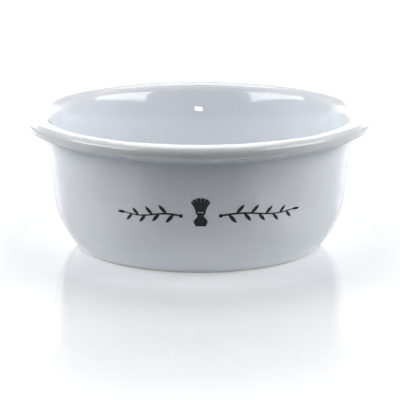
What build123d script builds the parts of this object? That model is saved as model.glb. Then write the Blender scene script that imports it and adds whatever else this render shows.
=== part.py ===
from build123d import *

import os
from math import cos, pi, radians, sin, tan

# Shaving bowl: a wide, low porcelain bowl with a rolled rim, glazed all over
# except for its dry foot ring, with a small black print fired on to the front.
# The bowl stands on Z = 0 with its axis on +Z, and the print faces -Y.
# A section is drawn on the XZ plane, where local x is the radius and local y the height.

# Driving dimensions, mm and degrees
rim_radius = 57.0
bowl_height = 44.0
wall_draft = 6.6
wall_thickness = 3.1
wall_root_radius = 50.55
wall_root_height = 38.2
rim_underside_slope = 18.0
rim_nose_rounding = 2.1
rim_cove_rounding = 2.0
rim_inner_rounding = 4.0
lip_flare_height = 35.8
lip_flare_slope = 19.5
lip_flare_rounding = 50.0
belly_top_height = 18.3
glaze_edge_radius = 40.2
glaze_edge_height = 0.45
floor_height = 5.0
floor_corner_rounding = 13.0
foot_outer_radius = 39.85
foot_inner_radius = 36.1
foot_edge_rounding = 0.25
recess_radius = 35.0
recess_height = 1.7
glaze_thickness = 0.3
ink_thickness = 0.06

# The section is drawn this far past the axis, and the glaze edges this far past
# their end, so that the glaze offset leaves both untouched.
overshoot = 1.2

# The print, in degrees round the bowl from its front, and in height above Z = 0
motif_azimuth = 0.6
motif_base_height = 17.3
sprig_height = 20.6
sprig_wave = 0.55
stem_root_width = 0.6
stem_tip_width = 0.3
leaf_length = 4.0
leaf_width = 1.2
leaf_tilt = 48.0
leaf_shrink = 0.3
leaf_overlap = 0.2
bud_radius = 0.6
ink_band_arc = 8.0
ink_band_high = 29.0
ink_prism_start = 42.0
ink_prism_depth = 14.0

os.makedirs("parts", exist_ok=True)


def wall_radius(height):
    """Radius of the outer wall's straight stretch at a height."""
    return wall_root_radius - (wall_root_height - height) * tan(radians(wall_draft))


def facing_plane(azimuth, height, turn=0.0):
    """Plane on the axis that faces outward at an azimuth, its x direction turned up by turn."""
    a = radians(azimuth)
    t = radians(turn)
    along = (cos(a) * cos(t), sin(a) * cos(t), sin(t))
    outward = (sin(a), -cos(a), 0)
    return Plane(origin=(0, 0, height), x_dir=along, z_dir=outward)


# ---- Sections ----

wall_up = (sin(radians(wall_draft)), cos(radians(wall_draft)))
belly_top = (wall_radius(belly_top_height), belly_top_height)
glaze_edge = (glaze_edge_radius, glaze_edge_height)
rim_nose_low = wall_root_height + (rim_radius - wall_root_radius) * tan(radians(rim_underside_slope))

# The inner wall runs parallel to the outer one, curves into the floor and flares towards the rim
inner_shift = wall_thickness / cos(radians(wall_draft))
lip_flare_foot = (wall_radius(lip_flare_height) - inner_shift, lip_flare_height)
lip_flare_run = (bowl_height - lip_flare_height) * tan(radians(lip_flare_slope))
inner_rim = (lip_flare_foot[0] + lip_flare_run, bowl_height)
floor_corner_radius = wall_radius(floor_height) - inner_shift
floor_corner_run = floor_corner_rounding / tan(radians((90 + wall_draft) / 2))
floor_edge = (floor_corner_radius - floor_corner_run, floor_height)
inner_wall_foot = (
    floor_corner_radius + floor_corner_run * wall_up[0],
    floor_height + floor_corner_run * wall_up[1],
)

with BuildSketch(Plane.XZ) as glazed_outline:
    with BuildLine():
        belly = TangentArc(belly_top, glaze_edge, tangent=(-wall_up[0], -wall_up[1]))
        belly_end = belly % 1
        past_edge = Vector(*glaze_edge) + belly_end * overshoot
        past_recess = (foot_inner_radius + overshoot, glaze_edge_height - overshoot)
        Polyline(
            belly_top,
            (wall_root_radius, wall_root_height),
            (rim_radius, rim_nose_low),
            (rim_radius, bowl_height),
            inner_rim,
            lip_flare_foot,
            inner_wall_foot,
        )
        TangentArc(inner_wall_foot, floor_edge, tangent=(-wall_up[0], -wall_up[1]))
        Polyline(
            floor_edge,
            (-overshoot, floor_height),
            (-overshoot, recess_height),
            (recess_radius, recess_height),
            past_recess,
            (past_edge.X, past_edge.Y),
            glaze_edge,
        )
    make_face()
    rim_nose = vertices().group_by(Axis.X)[-1]
    fillet(rim_nose, rim_nose_rounding)
    rim_cove = vertices().sort_by_distance((wall_root_radius, wall_root_height))[0]
    fillet(rim_cove, rim_cove_rounding)
    rim_lip = vertices().sort_by_distance(inner_rim)[0]
    fillet(rim_lip, rim_inner_rounding)
    lip_flare = vertices().sort_by_distance(lip_flare_foot)[0]
    fillet(lip_flare, lip_flare_rounding)

with BuildSketch(Plane.XZ) as above_glaze_edge:
    with Locations((0, glaze_edge_height)):
        Rectangle(rim_radius * 2, bowl_height, align=(Align.MIN, Align.MIN))

with BuildSketch(Plane.XZ) as body_section:
    add(glazed_outline.sketch)
    offset(amount=-glaze_thickness, mode=Mode.REPLACE)
    add(above_glaze_edge.sketch, mode=Mode.INTERSECT)

with BuildSketch(Plane.XZ) as glaze_section:
    add(glazed_outline.sketch)
    add(above_glaze_edge.sketch, mode=Mode.INTERSECT)
    add(body_section.sketch, mode=Mode.SUBTRACT)

with BuildSketch(Plane.XZ) as foot_section:
    with Locations(((foot_inner_radius + foot_outer_radius) / 2, 0)):
        Rectangle(foot_outer_radius - foot_inner_radius, glaze_edge_height, align=(Align.CENTER, Align.MIN))
    fillet(vertices().group_by(Axis.Y)[0], foot_edge_rounding)


# ---- Fired clay body and its glaze ----

with BuildPart() as porcelain_body:
    add(body_section.sketch)
    add(foot_section.sketch)
    revolve(axis=Axis.Z)
porcelain_body.part.label = "porcelain_body"

glaze_faces = glaze_section.sketch.faces().sort_by(Axis.Z)

with BuildPart() as glaze_coat:
    add(glaze_faces[-1])
    revolve(axis=Axis.Z)
glaze_coat.part.label = "glaze_coat"

with BuildPart() as base_glaze:
    add(glaze_faces[0])
    revolve(axis=Axis.Z)
base_glaze.part.label = "base_glaze"


# ---- Fired-on print ----

# A thin skin on the outside of the glaze, along the wall and the top of the belly arc
wall_out = Vector(wall_up[1], -wall_up[0])
belly_centre = Vector(*belly_top) - wall_out * belly.radius
band_top = Vector(wall_radius(ink_band_high), ink_band_high)

with BuildSketch(Plane.XZ) as ink_section:
    with BuildLine():
        skin = CenterArc(belly_centre, belly.radius + ink_thickness, -wall_draft, -ink_band_arc)
        Polyline(
            skin @ 1,
            skin @ 1 - Vector(wall_thickness / 2, 0),
            band_top - wall_out * wall_thickness / 2,
            band_top + wall_out * ink_thickness,
            skin @ 0,
        )
    make_face()
    add(glazed_outline.sketch, mode=Mode.SUBTRACT)

with BuildPart() as ink_band:
    add(ink_section.sketch)
    revolve(axis=Axis.Z)

# Shaving brush silhouette: a turned handle, a collar line and a fanned knot of hair
brush_base = 1.6
brush_bulb = (2.15, 1.5)
brush_waist = (1.0, 3.4)
brush_collar = 1.5
collar_height = 4.2
knot_shoulder = (2.9, 7.7)
brush_height = 9.2
collar_line = (2.0, 0.3)
hair_split = (0.3, 2.4)
hair_angles = (-33, -17, 0, 17, 33)

with BuildPart() as print_centre_motif:
    motif_plane = facing_plane(motif_azimuth, motif_base_height).offset(ink_prism_start)
    with BuildSketch(motif_plane):
        with BuildLine():
            Line((0, 0), (brush_base, 0))
            Spline(
                (brush_base, 0),
                brush_bulb,
                brush_waist,
                (brush_collar, collar_height),
                tangents=((0.3, 1), (0.6, 1)),
            )
            Spline(
                (brush_collar, collar_height),
                knot_shoulder,
                (0, brush_height),
                tangents=((0.1, 1), (-1, 0)),
            )
            mirror(about=Plane.YZ)
        make_face()
        with Locations((0, collar_height + collar_line[1])):
            SlotOverall(collar_line[0], collar_line[1], mode=Mode.SUBTRACT)
        for angle in hair_angles:
            reach = brush_height - collar_height
            tip = (-reach * sin(radians(angle)), collar_height + reach * cos(radians(angle)))
            with Locations(Location(tip, angle)):
                Triangle(a=hair_split[0], b=hair_split[1], c=hair_split[1], rotation=180, mode=Mode.SUBTRACT)
    extrude(amount=ink_prism_depth)
    add(ink_band.part, mode=Mode.INTERSECT)
print_centre_motif.part.label = "print_centre_motif"


def sprig(name, side, root, tip, leaf_pairs):
    """Leafy sprig from root to tip, in degrees from the front, to one side of the motif."""
    steps = 2 * leaf_pairs
    shares = [step / steps for step in range(steps + 1)]

    def azimuth(share):
        return side * (root + (tip - root) * share)

    def height(share):
        return sprig_height + sprig_wave * sin(2 * pi * share)

    def stem_edge(share, sign):
        half_width = (stem_root_width + (stem_tip_width - stem_root_width) * share) / 2
        across = wall_radius(sprig_height) * sin(radians(azimuth(share)))
        return (across, height(share) + sign * half_width)

    with BuildPart() as piece:
        with BuildSketch(Plane.XZ.offset(ink_prism_start / 2)):
            with BuildLine():
                Spline(*[stem_edge(share, 1) for share in shares])
                Spline(*[stem_edge(share, -1) for share in shares])
                Line(stem_edge(0, 1), stem_edge(0, -1))
                Line(stem_edge(1, 1), stem_edge(1, -1))
            make_face()
        extrude(amount=ink_prism_start)
        with BuildSketch(facing_plane(azimuth(0), height(0)).offset(ink_prism_start)):
            Circle(bud_radius)
        extrude(amount=ink_prism_depth)
        for step, share in enumerate(shares[1:], start=1):
            size = 1 - leaf_shrink * share
            tilt = leaf_tilt if step % 2 == 0 else -leaf_tilt
            if step == steps:
                tilt = 0
            turn = tilt if side > 0 else 180 - tilt
            with BuildSketch(facing_plane(azimuth(share), height(share), turn).offset(ink_prism_start)):
                with BuildLine():
                    leaf_start = (-leaf_overlap, 0)
                    leaf_end = (leaf_length * size, 0)
                    belly_x = leaf_length * size * 0.42
                    ThreePointArc(leaf_start, (belly_x, leaf_width * size / 2), leaf_end)
                    ThreePointArc(leaf_start, (belly_x, -leaf_width * size / 2), leaf_end)
                make_face()
            extrude(amount=ink_prism_depth)
        add(ink_band.part, mode=Mode.INTERSECT)
    piece.part.label = name
    return piece


print_left_sprig = sprig("print_left_sprig", side=-1, root=6.6, tip=28.2, leaf_pairs=4)
print_right_sprig = sprig("print_right_sprig", side=1, root=8.0, tip=37.0, leaf_pairs=5)


# ---- Files ----

pieces = (porcelain_body, glaze_coat, base_glaze, print_centre_motif, print_left_sprig, print_right_sprig)
for piece in pieces:
    export_step(piece.part, f"parts/{piece.part.label}.step")
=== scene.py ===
import math

import bpy
import numpy as np
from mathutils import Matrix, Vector


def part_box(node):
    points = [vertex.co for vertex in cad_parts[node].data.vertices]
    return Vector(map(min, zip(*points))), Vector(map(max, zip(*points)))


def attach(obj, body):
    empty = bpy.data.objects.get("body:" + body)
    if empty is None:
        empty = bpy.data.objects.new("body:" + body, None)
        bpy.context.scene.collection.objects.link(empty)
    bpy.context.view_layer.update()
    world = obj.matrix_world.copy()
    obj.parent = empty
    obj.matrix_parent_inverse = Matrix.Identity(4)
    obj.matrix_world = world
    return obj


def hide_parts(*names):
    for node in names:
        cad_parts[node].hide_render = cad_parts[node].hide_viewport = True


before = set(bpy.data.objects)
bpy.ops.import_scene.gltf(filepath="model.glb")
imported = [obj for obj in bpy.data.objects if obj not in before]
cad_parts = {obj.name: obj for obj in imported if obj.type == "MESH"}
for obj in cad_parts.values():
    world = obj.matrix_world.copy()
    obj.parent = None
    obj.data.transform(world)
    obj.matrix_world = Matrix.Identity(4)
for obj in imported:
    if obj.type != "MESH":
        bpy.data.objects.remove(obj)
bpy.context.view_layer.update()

# Lengths are in metres. The bowl's axis is +Z and its print faces -Y.
MM = 0.001

# ---- Sizes of the section, the same as the CAD model's ----
rim_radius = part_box("glaze_coat")[1].x
bowl_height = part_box("glaze_coat")[1].z
glaze_edge_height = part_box("glaze_coat")[0].z
recess_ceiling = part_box("base_glaze")[1].z
base_glaze_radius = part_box("base_glaze")[1].x
wall_draft = math.radians(6.6)
wall_thickness = 3.1 * MM
wall_root = np.array((50.55, 38.2)) * MM
rim_underside_slope = math.radians(18)
rim_nose_rounding = 2.1 * MM
rim_cove_rounding = 2.0 * MM
rim_inner_rounding = 4.0 * MM
lip_flare_height = 35.8 * MM
lip_flare_slope = math.radians(19.5)
lip_flare_rounding = 50 * MM
belly_top_height = 18.3 * MM
glaze_edge_radius = 40.2 * MM
floor_height = 5.0 * MM
floor_corner_rounding = 13.0 * MM
foot_outer_radius = 39.85 * MM
foot_inner_radius = 36.1 * MM
recess_radius = 35.0 * MM
glaze_thickness = 0.3 * MM

# ---- Sizes of the finer shapes, which the CAD model leaves out ----
melt_reach = 0.25 * MM
bead_swell = 0.12 * MM
bead_length = 1.1 * MM
edge_wander = 0.14 * MM
slow_wave = 26 * MM
slow_wave_height = 0.035 * MM
quick_wave = 9 * MM
quick_wave_height = 0.006 * MM
throwing_ring_spacing = 3.4 * MM
throwing_ring_height = 0.012 * MM
throwing_rings_fade = 48 * MM
throwing_rings_end = 62 * MM
recess_rounding = 1.0 * MM
foot_rounding = 0.3 * MM
foot_hollow = 0.04 * MM
foot_hollow_spacing = 5 * MM
foot_hollow_top = 0.5 * MM

# Glaze pools in a hollow: fully in one of this radius, judged over this reach
pool_radius = 2.5 * MM
pool_reach = 0.9 * MM

# The wall is left smooth round the print, so that the print lies on it
print_half_arc = math.radians(41)
print_fade_arc = math.radians(14)
print_low = 15 * MM
print_high = 29 * MM
print_fade = 5 * MM
print_clearance = 1.5 * MM

# Points round each mesh
bowl_segments = 300
clay_segments = 288
base_segments = 240

wall_up = np.array((math.sin(wall_draft), math.cos(wall_draft)))


# ---- Section geometry: lines are rows of (radius, height) ----

def line(start, end, step=0.1 * MM):
    """Points from start towards end, without the end."""
    start, end = np.array(start, float), np.array(end, float)
    count = max(2, int(np.linalg.norm(end - start) / step))
    share = np.arange(count)[:, None] / count
    return start + (end - start) * share


def arc(start, end, tangent, step=0.1 * MM):
    """Points along the arc that leaves start along tangent and reaches end, without the end."""
    start, end, tangent = (np.array(v, float) for v in (start, end, tangent))
    chord = end - start
    side = np.array((-tangent[1], tangent[0]))
    radius = chord @ chord / (2 * chord @ side)
    centre = start + side * radius
    sweep = 2 * math.atan2(chord @ side, chord @ tangent)
    count = max(2, int(abs(radius * sweep) / step))
    turn = np.arange(count) / count * sweep
    spoke = start - centre
    cosine, sine = np.cos(turn)[:, None], np.sin(turn)[:, None]
    return centre + spoke * cosine + np.array((-spoke[1], spoke[0])) * sine


def rounded(corners, roundings):
    """Points along a polyline whose inner corners are rounded, without the last point."""
    corners = [np.array(c, float) for c in corners]
    points, at = [], corners[0]
    for before, corner, after, radius in zip(corners, corners[1:], corners[2:], roundings):
        come = (corner - before) / np.linalg.norm(corner - before)
        leave = (after - corner) / np.linalg.norm(after - corner)
        run = radius * math.tan(math.acos(np.clip(come @ leave, -1, 1)) / 2)
        points += [line(at, corner - come * run), arc(corner - come * run, corner + leave * run, come)]
        at = corner + leave * run
    points.append(line(at, corners[-1]))
    return np.concatenate(points)


def wall_radius(height):
    return wall_root[0] - (wall_root[1] - height) * math.tan(wall_draft)


def glazed_section():
    """The glazed surface from the middle of the floor, up the inside, over the rim and down to the foot."""
    shift = wall_thickness / math.cos(wall_draft)
    floor_corner = (wall_radius(floor_height) - shift, floor_height)
    flare_foot = (wall_radius(lip_flare_height) - shift, lip_flare_height)
    flare_run = (bowl_height - lip_flare_height) * math.tan(lip_flare_slope)
    nose_low = wall_root[1] + (rim_radius - wall_root[0]) * math.tan(rim_underside_slope)
    belly_top = (wall_radius(belly_top_height), belly_top_height)
    glaze_edge = (glaze_edge_radius, glaze_edge_height)
    corners = (
        (0, floor_height),
        floor_corner,
        flare_foot,
        (flare_foot[0] + flare_run, bowl_height),
        (rim_radius, bowl_height),
        (rim_radius, nose_low),
        wall_root,
        belly_top,
    )
    roundings = (
        floor_corner_rounding,
        lip_flare_rounding,
        rim_inner_rounding,
        rim_nose_rounding,
        rim_nose_rounding,
        rim_cove_rounding,
    )
    return np.concatenate((rounded(corners, roundings), arc(belly_top, glaze_edge, -wall_up), [glaze_edge]))


def travel(points):
    """Distance along a line at each of its points."""
    return np.concatenate(((0,), np.cumsum(np.linalg.norm(np.diff(points, axis=0), axis=1))))


def headings(points):
    along = np.gradient(points, axis=0)
    return along / np.linalg.norm(along, axis=1)[:, None]


def normals(points):
    """Unit normals to the left of the direction of travel."""
    along = headings(points)
    return np.stack((-along[:, 1], along[:, 0]), axis=1)


def bends(points):
    """Curvature at each point, positive where the side to the left is hollow."""
    along = headings(points)
    return np.gradient(np.unwrap(np.arctan2(along[:, 1], along[:, 0]))) / np.gradient(travel(points))


def blurred(values, reach, spacing):
    """Values along a line, averaged over a reach. They are taken to go straight on past the ends."""
    half = int(3 * reach / spacing)
    weights = np.exp(-0.5 * (np.arange(-half, half + 1) * spacing / reach) ** 2)
    before = 2 * values[0] - values[1:half + 1][::-1]
    after = 2 * values[-1] - values[-half - 1:-1][::-1]
    return np.convolve(np.concatenate((before, values, after)), weights / weights.sum(), "valid")


def melted(points):
    """The same line with its bends eased, as glaze eases them when it melts. It starts on the axis."""
    spacing = travel(points)[-1] / (len(points) - 1)
    eased = np.stack([blurred(points[:, k], melt_reach, spacing) for k in (0, 1)], axis=1)
    eased[0][0] = 0
    return eased


def ring_places(points, straight, curved, tight=2 * MM):
    """Distances along a line for a mesh's rings: straight apart where it is flat, closer on bends.

    A bend whose radius is tight or less has its rings closest."""
    distance = travel(points)
    bend = np.clip(np.abs(bends(points)) * tight, 0, 1)
    need = np.cumsum(np.gradient(distance) * (1 / straight + bend / curved))
    need -= need[0]
    return np.interp(np.linspace(0, need[-1], int(need[-1]) + 2), need, distance)


def at_places(values, points, places):
    """Rows of values, one for each point of a line, read at distances along it."""
    distance = travel(points)
    return np.stack([np.interp(places, distance, column) for column in values.T], axis=1)


def layer(points, out, places):
    """The two faces of a glaze layer. It swells into a bead and rounds off at the line's end."""
    face = at_places(points, points, places)
    out = at_places(out, points, places)
    left = (travel(points)[-1] - places)[:, None]
    bead = bead_swell * np.exp(-((left / bead_length - 0.5) * 2) ** 2)
    tip = np.sqrt(1 - (1 - np.clip(left / glaze_thickness, 0, 1)) ** 2)
    middle = face - out * glaze_thickness / 2
    return middle + out * tip * (glaze_thickness / 2 + bead), middle - out * tip * glaze_thickness / 2


def with_fine_end(places):
    """The same distances with closer ones along the bead at the end."""
    reach = 1.3 * bead_length
    rings = 14
    gap = 0.2 * MM
    close = places[-1] - reach * np.linspace(1, 0, rings) ** 1.5
    return np.concatenate((places[places < close[0] - gap], close))


# ---- Unevenness ----

def ease(value, start, end):
    """0 before start, 1 after end, and smooth between."""
    share = np.clip((value - start) / (end - start), 0, 1)
    return share * share * (3 - 2 * share)


def ripple(points, wavelength, seed, waves=14):
    """Smooth uneven values about zero, from sine waves in random directions."""
    random = np.random.default_rng(seed)
    direction = random.normal(size=(waves, 3))
    direction /= np.linalg.norm(direction, axis=1)[:, None]
    phase = random.uniform(0, 2 * math.pi, waves)
    pitch = random.uniform(0.7, 1.4, waves) * 2 * math.pi / wavelength
    return np.sin(points @ (direction * pitch[:, None]).T + phase).sum(axis=-1) * math.sqrt(2 / waves)


def away_from_print(points):
    """0 round the print and 1 away from it."""
    arc_away = np.abs(np.arctan2(points[..., 0], -points[..., 1])) - print_half_arc
    inward = ease(-np.hypot(points[..., 0], points[..., 1]), -wall_radius(print_low) + print_clearance, 0)
    below = ease(print_low - points[..., 2], 0, print_fade)
    above = ease(points[..., 2] - print_high, 0, print_fade)
    return np.max((ease(arc_away, 0, print_fade_arc), below, above, np.sqrt(inward)), axis=0)


# ---- Meshes of revolution ----

def spun(outline, segments):
    """Grid of points, a ring for each row of the outline, starting at the front of the bowl."""
    angle = np.arange(segments) / segments * 2 * math.pi
    radius, height = outline[:, 0, None], outline[:, 1, None]
    return np.stack((radius * np.sin(angle), -radius * np.cos(angle), height + 0 * angle), axis=2)


def revolved(name, grid, pooling=None):
    """Closed mesh of a grid of rings. The first and last rings are on the axis, and become points."""
    segments = grid.shape[1]
    rings = grid[1:-1].reshape(-1, 3)
    points = np.concatenate((rings, grid[:1].mean(axis=1), grid[-1:].mean(axis=1)))
    turn = np.arange(segments)
    following = (turn + 1) % segments
    faces = []
    for start in range(0, len(rings) - segments, segments):
        a, b = start, start + segments
        faces += np.stack((a + turn, b + turn, b + following, a + following), axis=1).tolist()
    first, last, end = len(rings), len(rings) + 1, len(rings) - segments
    faces += [(first, int(t), int(f)) for t, f in zip(turn, following)]
    faces += [(last, end + int(f), end + int(t)) for t, f in zip(turn, following)]
    mesh = bpy.data.meshes.new(name)
    mesh.from_pydata(points.tolist(), [], faces)
    mesh.update()
    mesh.shade_smooth()
    if pooling is not None:
        values = np.concatenate((np.repeat(pooling[1:-1], segments), pooling[[0, -1]])).astype(np.float32)
        mesh.attributes.new("pooling", "FLOAT", "POINT").data.foreach_set("value", values)
    piece = bpy.data.objects.new(name, mesh)
    bpy.context.scene.collection.objects.link(piece)
    return piece


def pooled(points, places):
    """How much thicker, above 0, or thinner, below 0, the melted glaze lies at places along a line."""
    spacing = travel(points)[-1] / (len(points) - 1)
    hollow = blurred(bends(points), pool_reach, spacing) * pool_radius
    left = places[-1] - places
    return np.clip(np.interp(places, travel(points), hollow) + np.exp(-(left / bead_length) ** 2), -1, 1)


section = melted(glazed_section())


def glazed_surface():
    """The glaze coat, with the unevenness of a bowl shaped on a wheel and dipped."""
    places = with_fine_end(ring_places(section, straight=1.25 * MM, curved=0.34 * MM))
    outer, inner = layer(section, normals(section), places)
    outside = spun(outer, bowl_segments)
    out = spun(at_places(normals(section), section, places), bowl_segments)
    along = spun(at_places(headings(section), section, places), bowl_segments)
    rings = throwing_ring_height * np.sin(places / throwing_ring_spacing * 2 * math.pi)
    rings *= 1 - ease(places, throwing_rings_fade, throwing_rings_end)
    waves = slow_wave_height * ripple(outside, slow_wave, seed=3)
    waves += quick_wave_height * ripple(outside, quick_wave, seed=8)
    lift = rings[:, None] + waves * away_from_print(outside)
    angle = np.arange(bowl_segments) / bowl_segments * 2 * math.pi
    wander = np.sin(3 * angle + 0.6) + 0.7 * np.sin(7 * angle + 2.1) + 0.4 * np.sin(17 * angle)
    near_end = np.exp(-((places[-1] - places) / (2 * bead_length)) ** 2)[:, None]
    slide = along * (edge_wander / 2 * wander * near_end)[..., None]
    outside = outside + out * lift[..., None] + slide
    inside = spun(inner, bowl_segments) + slide
    pooling = pooled(section, places)
    grid = np.concatenate((outside, inside[::-1][1:]))
    return revolved("glazed_surface", grid, np.concatenate((pooling, pooling[::-1][1:])))


def clay_body():
    """The fired clay under the glaze, with its ground foot ring standing bare."""
    covered = section - normals(section) * glaze_thickness
    covered = at_places(covered, section, ring_places(section, straight=3 * MM, curved=0.6 * MM))
    covered[0][0] = 0
    foot = rounded(
        (
            covered[-1],
            (foot_outer_radius, glaze_edge_height),
            (foot_outer_radius, 0),
            (foot_inner_radius, 0),
            (foot_inner_radius, glaze_edge_height),
            (base_glaze_radius, glaze_edge_height),
            (recess_radius + glaze_thickness / 2, recess_ceiling),
            (0, recess_ceiling),
        ),
        (0.1 * MM, foot_rounding, foot_rounding, 0.05 * MM, 0.05 * MM, recess_rounding),
    )
    bare = at_places(foot, foot, ring_places(foot, straight=1.5 * MM, curved=0.12 * MM))
    grid = spun(np.concatenate((covered, bare[1:], [(0, recess_ceiling)])), clay_segments)
    standing = 1 - ease(grid[..., 2], 0, foot_hollow_top)
    grid[..., 2] += foot_hollow * standing * np.clip(ripple(grid, foot_hollow_spacing, seed=21), 0, 1)
    return revolved("clay_body", grid)


def glazed_base():
    """The glaze in the recess inside the foot ring. Its edge lies on a narrow shelf of the ring."""
    recess_floor = recess_ceiling - glaze_thickness
    slope = math.hypot(foot_inner_radius - recess_radius, recess_floor - glaze_edge_height)
    across = glaze_thickness * slope / (recess_floor - glaze_edge_height)
    edge = np.array((base_glaze_radius - across, glaze_edge_height))
    corners = ((0, recess_floor), (recess_radius, recess_floor), edge)
    under = np.concatenate((rounded(corners, (recess_rounding,)), [edge]))
    places = with_fine_end(ring_places(under, straight=1.5 * MM, curved=0.25 * MM))
    lower, upper = layer(under, -normals(under), places)
    lower, upper = spun(lower, base_segments), spun(upper, base_segments)
    lower[..., 2] += slow_wave_height * ripple(lower, slow_wave / 2, seed=34)
    pooling = pooled(under, places)
    return revolved(
        "glazed_base",
        np.concatenate((upper, lower[::-1][1:])),
        np.concatenate((pooling, pooling[::-1][1:])),
    )


# ---- Materials ----

def node(tree, kind, inputs, **settings):
    """A new node. An input is a number, a colour or another node's output."""
    made = tree.nodes.new(kind)
    for key, value in settings.items():
        setattr(made, key, value)
    for key, value in inputs.items():
        if isinstance(value, bpy.types.NodeSocket):
            tree.links.new(value, made.inputs[key])
        else:
            made.inputs[key].default_value = value
    return made


def place(tree):
    return node(tree, "ShaderNodeTexCoord", {}).outputs["Object"]


def speckle(tree, size, detail=2.0, softness=0.5):
    """Noise between about 0.3 and 0.7, with patches of about a size."""
    inputs = {"Vector": place(tree), "Scale": 1 / size, "Detail": detail, "Roughness": softness}
    return node(tree, "ShaderNodeTexNoise", inputs).outputs[0]


def spread(tree, value, low, high, to_low=0.0, to_high=1.0):
    """A value between low and high, stretched to a new span and kept inside it."""
    inputs = {"Value": value, 1: low, 2: high, 3: to_low, 4: to_high}
    return node(tree, "ShaderNodeMapRange", inputs).outputs[0]


def multiplied(tree, first, second):
    return node(tree, "ShaderNodeMath", {0: first, 1: second}, operation="MULTIPLY").outputs[0]


def mixed(tree, share, first, second):
    """A colour between two colours."""
    return node(tree, "ShaderNodeMix", {0: share, 6: first, 7: second}, data_type="RGBA").outputs[2]


def dots(tree, spacing, size, share):
    """1 inside small round dots, at random places about spacing apart. Only a share of them is kept."""
    cell = node(tree, "ShaderNodeTexVoronoi", {"Vector": place(tree), "Scale": 1 / spacing})
    inside = spread(tree, cell.outputs["Distance"], size / spacing * 0.6, size / spacing, 1, 0)
    draw = node(tree, "ShaderNodeSeparateColor", {0: cell.outputs["Color"]}).outputs[0]
    kept = node(tree, "ShaderNodeMath", {0: draw, 1: share}, operation="LESS_THAN").outputs[0]
    return multiplied(tree, inside, kept)


def bump(tree, height, depth, under=None):
    inputs = {"Height": height, "Distance": depth, "Strength": 1.0}
    if under is not None:
        inputs["Normal"] = under
    return node(tree, "ShaderNodeBump", inputs).outputs[0]


def new_material(name, **inputs):
    made = bpy.data.materials.new(name)
    made.use_nodes = True
    for key, value in inputs.items():
        made.node_tree.nodes["Principled BSDF"].inputs[key.replace("_", " ")].default_value = value
    return made, made.node_tree


def finish(tree, **inputs):
    """Feeds node outputs into the material's shader."""
    for key, value in inputs.items():
        tree.links.new(value, tree.nodes["Principled BSDF"].inputs[key.replace("_", " ")])


def porcelain_glaze():
    """Cool white gloss: cooler where it pools, paler where it thins, with orange peel and a few specks."""
    made, tree = new_material("porcelain_glaze", IOR=1.52)
    mottle = spread(tree, speckle(tree, 14 * MM), 0.3, 0.7)
    colour = mixed(tree, mottle, (0.785, 0.815, 0.852, 1), (0.808, 0.834, 0.868, 1))
    thickness = node(tree, "ShaderNodeAttribute", {}, attribute_name="pooling").outputs["Fac"]
    colour = mixed(tree, spread(tree, thickness, 0.05, 1.0, 0, 0.6), colour, (0.64, 0.70, 0.76, 1))
    colour = mixed(tree, spread(tree, thickness, -0.05, -1.0, 0, 0.5), colour, (0.84, 0.84, 0.835, 1))
    specks = dots(tree, 13 * MM, 0.32 * MM, share=0.3)
    colour = mixed(tree, multiplied(tree, specks, 0.45), colour, (0.30, 0.25, 0.21, 1))
    gloss = spread(tree, speckle(tree, 9 * MM, detail=4), 0.3, 0.7, 0.03, 0.075)
    pits = dots(tree, 7 * MM, 0.16 * MM, share=0.35)
    relief = bump(tree, speckle(tree, 1.6 * MM, detail=1), 0.005 * MM)
    relief = bump(tree, speckle(tree, 5 * MM, detail=1), 0.018 * MM, relief)
    relief = bump(tree, multiplied(tree, pits, -1.0), 0.02 * MM, relief)
    finish(tree, Base_Color=colour, Roughness=gloss, Normal=relief)
    return made


def bare_clay():
    """Matt fired clay with a fine grain, greyed by metal and tabletops where it stands."""
    made, tree = new_material("bare_clay", IOR=1.45)
    grain = speckle(tree, 0.5 * MM, detail=5, softness=0.7)
    cloud = spread(tree, speckle(tree, 6 * MM), 0.35, 0.65)
    colour = mixed(tree, cloud, (0.70, 0.66, 0.60, 1), (0.79, 0.76, 0.71, 1))
    colour = mixed(tree, spread(tree, grain, 0.35, 0.7, 0, 0.35), colour, (0.60, 0.55, 0.49, 1))
    height = node(tree, "ShaderNodeSeparateXYZ", {0: place(tree)}).outputs["Z"]
    standing = spread(tree, height, 0.05 * MM, 0.3 * MM, 1, 0)
    marks = multiplied(tree, standing, spread(tree, speckle(tree, 0.7 * MM, detail=6), 0.48, 0.66))
    colour = mixed(tree, multiplied(tree, marks, 0.35), colour, (0.28, 0.28, 0.29, 1))
    matt = spread(tree, grain, 0.3, 0.7, 0.75, 0.92)
    finish(tree, Base_Color=colour, Roughness=matt, Normal=bump(tree, grain, 0.04 * MM))
    return made


def fired_print():
    """Black ceramic ink, satin over the gloss, with a fine screen texture and a few pinholes."""
    made, tree = new_material("fired_print", IOR=1.5)
    cloud = spread(tree, speckle(tree, 0.9 * MM, detail=4), 0.35, 0.7)
    colour = mixed(tree, cloud, (0.012, 0.013, 0.017, 1), (0.026, 0.028, 0.034, 1))
    pinholes = dots(tree, 0.8 * MM, 0.09 * MM, share=0.3)
    colour = mixed(tree, multiplied(tree, pinholes, 0.6), colour, (0.32, 0.34, 0.38, 1))
    satin = spread(tree, speckle(tree, 0.5 * MM, detail=3), 0.3, 0.7, 0.16, 0.34)
    relief = bump(tree, speckle(tree, 0.25 * MM, detail=2), 0.004 * MM)
    finish(tree, Base_Color=colour, Roughness=satin, Normal=relief)
    return made


# Where the table's polish ends and it is dull, in y
table_polish_end = -70 * MM
table_dull_start = -160 * MM

# Where the table's painted glow changes, from the bowl's axis. The glow is painted light: strongest under
# the bowl's overhang to lift the bowl's shadow, and stronger again away from the bowl
painted_light_overhang_end = 62 * MM
painted_light_open_start = 72 * MM
painted_light_open_end = 170 * MM


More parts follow.
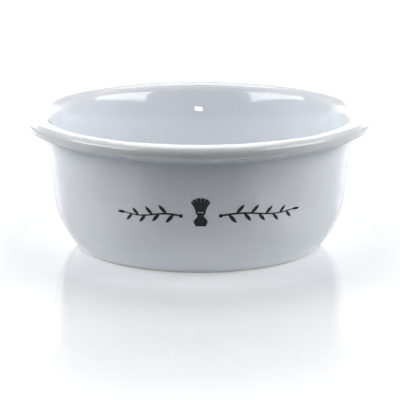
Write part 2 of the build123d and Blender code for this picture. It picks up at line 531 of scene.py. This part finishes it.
def polished_table():
    """Pale sheet with painted light: it glows, most under the bowl's overhang to lift the bowl's shadow and
    more away from the bowl. It is polished, and duller towards the front.
    """
    made, tree = new_material("polished_table", IOR=1.5, Emission_Color=(1, 1, 1, 1))
    cloud = spread(tree, speckle(tree, 60 * MM), 0.3, 0.7)
    colour = mixed(tree, cloud, (0.640, 0.652, 0.668, 1), (0.652, 0.664, 0.680, 1))
    depth = node(tree, "ShaderNodeSeparateXYZ", {0: place(tree)}).outputs["Y"]
    dull = spread(tree, depth, table_polish_end, table_dull_start, 0.05, 0.40)
    patchy = spread(tree, speckle(tree, 20 * MM, detail=3), 0.3, 0.7, 0.85, 1.15)
    away = node(tree, "ShaderNodeVectorMath", {0: place(tree)}, operation="LENGTH").outputs["Value"]
    # Painted light: the table glows most just outside the foot, where the bowl shades it, and glows more
    # again further from the bowl
    painted_light_under_bowl = spread(tree, away, foot_outer_radius, painted_light_overhang_end, 0.20, 0.02)
    painted_light_away = spread(tree, away, painted_light_open_start, painted_light_open_end, 0.10, 0.30)
    painted_glow = node(tree, "ShaderNodeMath", {0: painted_light_under_bowl, 1: painted_light_away}, operation="ADD").outputs[0]
    finish(tree, Base_Color=colour, Roughness=multiplied(tree, dull, patchy), Emission_Strength=painted_glow)
    return made


# ---- The bowl ----

def stands_for(piece, node_name, look):
    """Puts a detailed piece in the place of its plain CAD node."""
    piece.data.materials.append(look)
    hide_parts(node_name)
    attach(piece, "root")


glaze = porcelain_glaze()
stands_for(glazed_surface(), "glaze_coat", glaze)
stands_for(glazed_base(), "base_glaze", glaze)
stands_for(clay_body(), "porcelain_body", bare_clay())
ink = fired_print()
for name in ("print_centre_motif", "print_left_sprig", "print_right_sprig"):
    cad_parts[name].data.materials.clear()
    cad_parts[name].data.materials.append(ink)


# ---- Stage, light and camera ----

# The table reaches this far on every side, and its two stretches meet at the seam, in y
table_reach = 12
table_seam = -0.09

camera_place = (0.0003, -0.7153, 0.1867)
camera_tilt = 13.57
camera_lens = 200


def tabletop(name, front, back, look):
    """A stretch of the table from front to back, in y."""
    mesh = bpy.data.meshes.new(name)
    corners = [
        (-table_reach, front, 0),
        (table_reach, front, 0),
        (table_reach, back, 0),
        (-table_reach, back, 0),
    ]
    mesh.from_pydata(corners, [], [(0, 1, 2, 3)])
    mesh.materials.append(look)
    made = bpy.data.objects.new(name, mesh)
    bpy.context.scene.collection.objects.link(made)
    return made


def softbox(name, azimuth, elevation, distance, width, height, brightness):
    """A rectangular light that faces the bowl. Azimuth 0 is the camera's side and 90 the right.

    Brightness is its radiance, so it looks as bright at any size."""
    data = bpy.data.lights.new(name, "AREA")
    data.shape = "RECTANGLE"
    data.size, data.size_y = width, height
    data.energy = brightness * math.pi * width * height
    lamp = bpy.data.objects.new(name, data)
    a, e = math.radians(azimuth), math.radians(elevation)
    back = Vector((math.sin(a) * math.cos(e), -math.cos(a) * math.cos(e), math.sin(e)))
    lamp.location = back * distance + Vector((0, 0, bowl_height / 2))
    lamp.rotation_euler = back.to_track_quat("Z", "Y").to_euler()
    lamp.visible_camera = False
    bpy.context.scene.collection.objects.link(lamp)
    return lamp


def surround(strength):
    world = bpy.data.worlds.new("surround")
    world.use_nodes = True
    world.node_tree.nodes["Background"].inputs["Color"].default_value = (1, 1, 1, 1)
    world.node_tree.nodes["Background"].inputs["Strength"].default_value = strength
    bpy.context.scene.world = world


def photograph_camera():
    data = bpy.data.cameras.new("camera")
    data.sensor_width = 36
    data.lens = camera_lens
    camera = bpy.data.objects.new("camera", data)
    camera.location = camera_place
    camera.rotation_euler = (math.radians(90 - camera_tilt), 0, 0)
    bpy.context.scene.collection.objects.link(camera)
    bpy.context.scene.camera = camera


# Light that the table bounces from in front of the bowl is kept off the bowl. The panels and
# fills light it without showing in the glaze, and the side softboxes only show in the glaze.
polished_table_look = polished_table()
tabletop("table_back", table_seam, table_reach, polished_table_look)
tabletop("table_front", -table_reach, table_seam, polished_table_look).visible_diffuse = False
surround(0.02)
softbox("back_panel", 180, 13, 3.0, 5.0, 1.3, 1.4)
softbox("back_left_panel", -140, 12, 3.0, 1.4, 0.8, 1.5)
softbox("back_right_panel", 140, 12, 3.0, 1.4, 0.8, 0.9)
softbox("left_panel", -105, 21, 2.4, 1.6, 1.3, 3.7).visible_glossy = False
softbox("right_panel", 106, 19, 2.4, 1.6, 1.3, 3.7).visible_glossy = False
softbox("left_fill", -68, 36, 1.5, 1.3, 0.75, 2.3).visible_glossy = False
softbox("right_fill", 68, 36, 1.5, 1.3, 0.75, 2.55).visible_glossy = False
softbox("left_softbox", -70, 31.5, 1.5, 1.3, 0.5, 5.6).visible_diffuse = False
softbox("right_softbox", 70, 31.5, 1.5, 1.3, 0.5, 6.2).visible_diffuse = False
softbox("top_softbox", 180, 60, 1.6, 0.8, 0.7, 3.4)
softbox("high_fill", 0, 80, 1.5, 0.9, 0.5, 4.5).visible_glossy = False
softbox("front_lamp", 0, 16, 1.0, 0.12, 0.05, 17)
photograph_camera()
bpy.context.scene.view_settings.view_transform = "Standard"
bpy.context.scene.view_settings.gamma = 0.8
